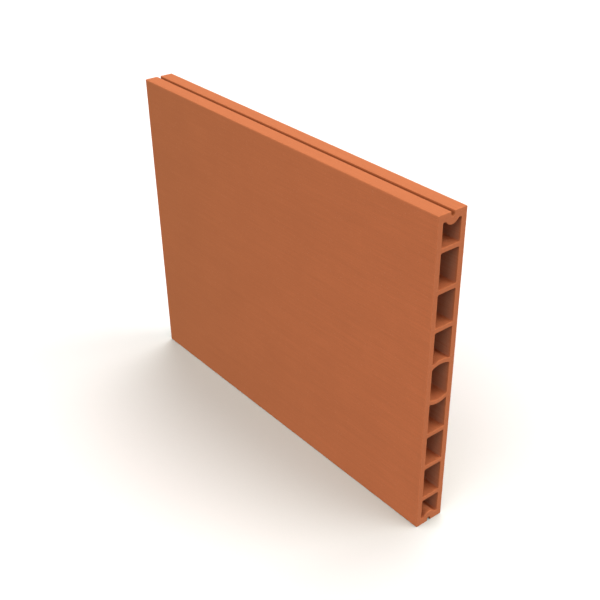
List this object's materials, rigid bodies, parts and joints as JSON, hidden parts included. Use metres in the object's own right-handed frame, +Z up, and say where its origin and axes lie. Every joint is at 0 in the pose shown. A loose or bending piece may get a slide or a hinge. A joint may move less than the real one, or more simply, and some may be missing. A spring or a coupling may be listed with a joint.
{
  "type": "hollow clay block",
  "caption": "Thin fired-clay partition block with a single row of through cells, a barrel-shaped middle cell, and a keying groove along each long bed.",
  "frame": {"origin": "middle of the lower bed, on the surface that the block stands on", "axes": "+X along the cells, +Y from the front face to the back face, +Z up"},
  "size_m": [0.666, 0.05, 0.5],
  "materials": {
    "fired_clay": "matt fired terracotta"
  },
  "bodies": {
    "root": {"hollow_clay_block": "fired_clay"}
  },
  "joints": []
}
